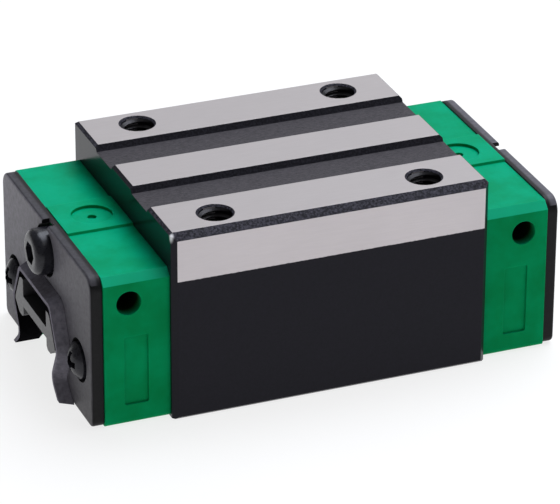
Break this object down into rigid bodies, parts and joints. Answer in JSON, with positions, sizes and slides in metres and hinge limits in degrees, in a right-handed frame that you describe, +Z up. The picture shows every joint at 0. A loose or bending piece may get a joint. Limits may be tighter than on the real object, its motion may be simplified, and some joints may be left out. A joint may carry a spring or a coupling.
{
  "type": "linear guide carriage",
  "caption": "Square recirculating-ball carriage for a profile rail: steel block, green plastic end caps, black end seals and a transport insert in the rail channel.",
  "frame": {"origin": "middle of the carriage's length and width, on the plane of its bottom faces", "axes": "+X along the rail, +Y across it away from the ground reference side, +Z up to the mounting face"},
  "size_m": [0.0618, 0.034, 0.0237],
  "materials": {
    "block_steel": "ground faces, black oxide elsewhere",
    "cap_plastic": "moulded, slightly translucent",
    "seal_plate": "satin, fine grain",
    "seal_rubber": "satin",
    "screw_black": "black oxide, glossy",
    "plug_black": "black, glossy",
    "ball_steel": "polished bearing steel",
    "guide_plastic": "natural moulded",
    "retainer_plastic": "moulded",
    "insert_plastic": "moulded, satin"
  },
  "bodies": {
    "carriage": {"carriage_block": "block_steel", "top_ball_retainer": "retainer_plastic", "side_ball_retainer_near": "retainer_plastic", "bottom_seal_near": "seal_rubber", "side_ball_retainer_far": "retainer_plastic", "bottom_seal_far": "seal_rubber", "end_cap_left": "cap_plastic", "seal_plate_left": "seal_plate", "seal_lip_left": "seal_rubber", "end_screws_left": "screw_black", "port_plug_left": "plug_black", "return_guide_near_left": "guide_plastic", "return_guide_far_left": "guide_plastic", "end_cap_right": "cap_plastic", "seal_plate_right": "seal_plate", "seal_lip_right": "seal_rubber", "end_screws_right": "screw_black", "port_plug_right": "plug_black", "return_guide_near_right": "guide_plastic", "return_guide_far_right": "guide_plastic"},
    "transport_insert": {"dummy_rail": "insert_plastic"},
    "loaded_row_upper_near": {"loaded_balls_upper_near": "ball_steel"},
    "return_row_upper_near": {"return_balls_upper_near": "ball_steel"},
    "turn_upper_near_left": {"turn_balls_upper_near_left": "ball_steel"},
    "turn_upper_near_right": {"turn_balls_upper_near_right": "ball_steel"},
    "loaded_row_upper_far": {"loaded_balls_upper_far": "ball_steel"},
    "return_row_upper_far": {"return_balls_upper_far": "ball_steel"},
    "turn_upper_far_left": {"turn_balls_upper_far_left": "ball_steel"},
    "turn_upper_far_right": {"turn_balls_upper_far_right": "ball_steel"},
    "loaded_row_lower_near": {"loaded_balls_lower_near": "ball_steel"},
    "return_row_lower_near": {"return_balls_lower_near": "ball_steel"},
    "turn_lower_near_left": {"turn_balls_lower_near_left": "ball_steel"},
    "turn_lower_near_right": {"turn_balls_lower_near_right": "ball_steel"},
    "loaded_row_lower_far": {"loaded_balls_lower_far": "ball_steel"},
    "return_row_lower_far": {"return_balls_lower_far": "ball_steel"},
    "turn_lower_far_left": {"turn_balls_lower_far_left": "ball_steel"},
    "turn_lower_far_right": {"turn_balls_lower_far_right": "ball_steel"}
  },
  "joints": [
    {"name": "insert_slide", "type": "slide", "parent": "carriage", "child": "transport_insert", "axis": [1, 0, 0], "range_m": [-0.062, 0.062]},
    {"name": "ball_travel", "type": "slide", "parent": "carriage", "child": "loaded_row_upper_near", "axis": [1, 0, 0], "range_m": [-0.00159, 0.00159]},
    {"name": "return_travel_upper_near", "type": "slide", "parent": "carriage", "child": "return_row_upper_near", "axis": [1, 0, 0], "range_m": [-0.00159, 0.00159]},
    {"name": "turn_travel_upper_near_left", "type": "hinge", "parent": "carriage", "child": "turn_upper_near_left", "pos_m": [-0.02062, -0.01073, 0.00978], "axis": [0, -0.2588, -0.9659], "range_deg": [-30, 30]},
    {"name": "turn_travel_upper_near_right", "type": "hinge", "parent": "carriage", "child": "turn_upper_near_right", "pos_m": [0.02062, -0.01073, 0.00978], "axis": [0, -0.2588, -0.9659], "range_deg": [-30, 30]},
    {"name": "loaded_travel_upper_far", "type": "slide", "parent": "carriage", "child": "loaded_row_upper_far", "axis": [1, 0, 0], "range_m": [-0.00159, 0.00159]},
    {"name": "return_travel_upper_far", "type": "slide", "parent": "carriage", "child": "return_row_upper_far", "axis": [1, 0, 0], "range_m": [-0.00159, 0.00159]},
    {"name": "turn_travel_upper_far_left", "type": "hinge", "parent": "carriage", "child": "turn_upper_far_left", "pos_m": [-0.02062, 0.01073, 0.00978], "axis": [0, -0.2588, 0.9659], "range_deg": [-30, 30]},
    {"name": "turn_travel_upper_far_right", "type": "hinge", "parent": "carriage", "child": "turn_upper_far_right", "pos_m": [0.02062, 0.01073, 0.00978], "axis": [0, -0.2588, 0.9659], "range_deg": [-30, 30]},
    {"name": "loaded_travel_lower_near", "type": "slide", "parent": "carriage", "child": "loaded_row_lower_near", "axis": [1, 0, 0], "range_m": [-0.00159, 0.00159]},
    {"name": "return_travel_lower_near", "type": "slide", "parent": "carriage", "child": "return_row_lower_near", "axis": [1, 0, 0], "range_m": [-0.00159, 0.00159]},
    {"name": "turn_travel_lower_near_left", "type": "hinge", "parent": "carriage", "child": "turn_lower_near_left", "pos_m": [-0.02062, -0.01073, 0.00342], "axis": [0, 0.2588, -0.9659], "range_deg": [-30, 30]},
    {"name": "turn_travel_lower_near_right", "type": "hinge", "parent": "carriage", "child": "turn_lower_near_right", "pos_m": [0.02062, -0.01073, 0.00342], "axis": [0, 0.2588, -0.9659], "range_deg": [-30, 30]},
    {"name": "loaded_travel_lower_far", "type": "slide", "parent": "carriage", "child": "loaded_row_lower_far", "axis": [1, 0, 0], "range_m": [-0.00159, 0.00159]},
    {"name": "return_travel_lower_far", "type": "slide", "parent": "carriage", "child": "return_row_lower_far", "axis": [1, 0, 0], "range_m": [-0.00159, 0.00159]},
    {"name": "turn_travel_lower_far_left", "type": "hinge", "parent": "carriage", "child": "turn_lower_far_left", "pos_m": [-0.02062, 0.01073, 0.00342], "axis": [0, 0.2588, 0.9659], "range_deg": [-30, 30]},
    {"name": "turn_travel_lower_far_right", "type": "hinge", "parent": "carriage", "child": "turn_lower_far_right", "pos_m": [0.02062, 0.01073, 0.00342], "axis": [0, 0.2588, 0.9659], "range_deg": [-30, 30]}
  ],
  "couplings": [
    {"joint": "return_travel_upper_near", "follows": "ball_travel", "ratio": -1},
    {"joint": "turn_travel_upper_near_left", "follows": "ball_travel", "rad_per_m": 330.03},
    {"joint": "turn_travel_upper_near_right", "follows": "ball_travel", "rad_per_m": 330.03},
    {"joint": "loaded_travel_upper_far", "follows": "ball_travel", "ratio": 1},
    {"joint": "return_travel_upper_far", "follows": "ball_travel", "ratio": -1},
    {"joint": "turn_travel_upper_far_left", "follows": "ball_travel", "rad_per_m": 330.03},
    {"joint": "turn_travel_upper_far_right", "follows": "ball_travel", "rad_per_m": 330.03},
    {"joint": "loaded_travel_lower_near", "follows": "ball_travel", "ratio": 1},
    {"joint": "return_travel_lower_near", "follows": "ball_travel", "ratio": -1},
    {"joint": "turn_travel_lower_near_left", "follows": "ball_travel", "rad_per_m": 330.03},
    {"joint": "turn_travel_lower_near_right", "follows": "ball_travel", "rad_per_m": 330.03},
    {"joint": "loaded_travel_lower_far", "follows": "ball_travel", "ratio": 1},
    {"joint": "return_travel_lower_far", "follows": "ball_travel", "ratio": -1},
    {"joint": "turn_travel_lower_far_left", "follows": "ball_travel", "rad_per_m": 330.03},
    {"joint": "turn_travel_lower_far_right", "follows": "ball_travel", "rad_per_m": 330.03}
  ]
}
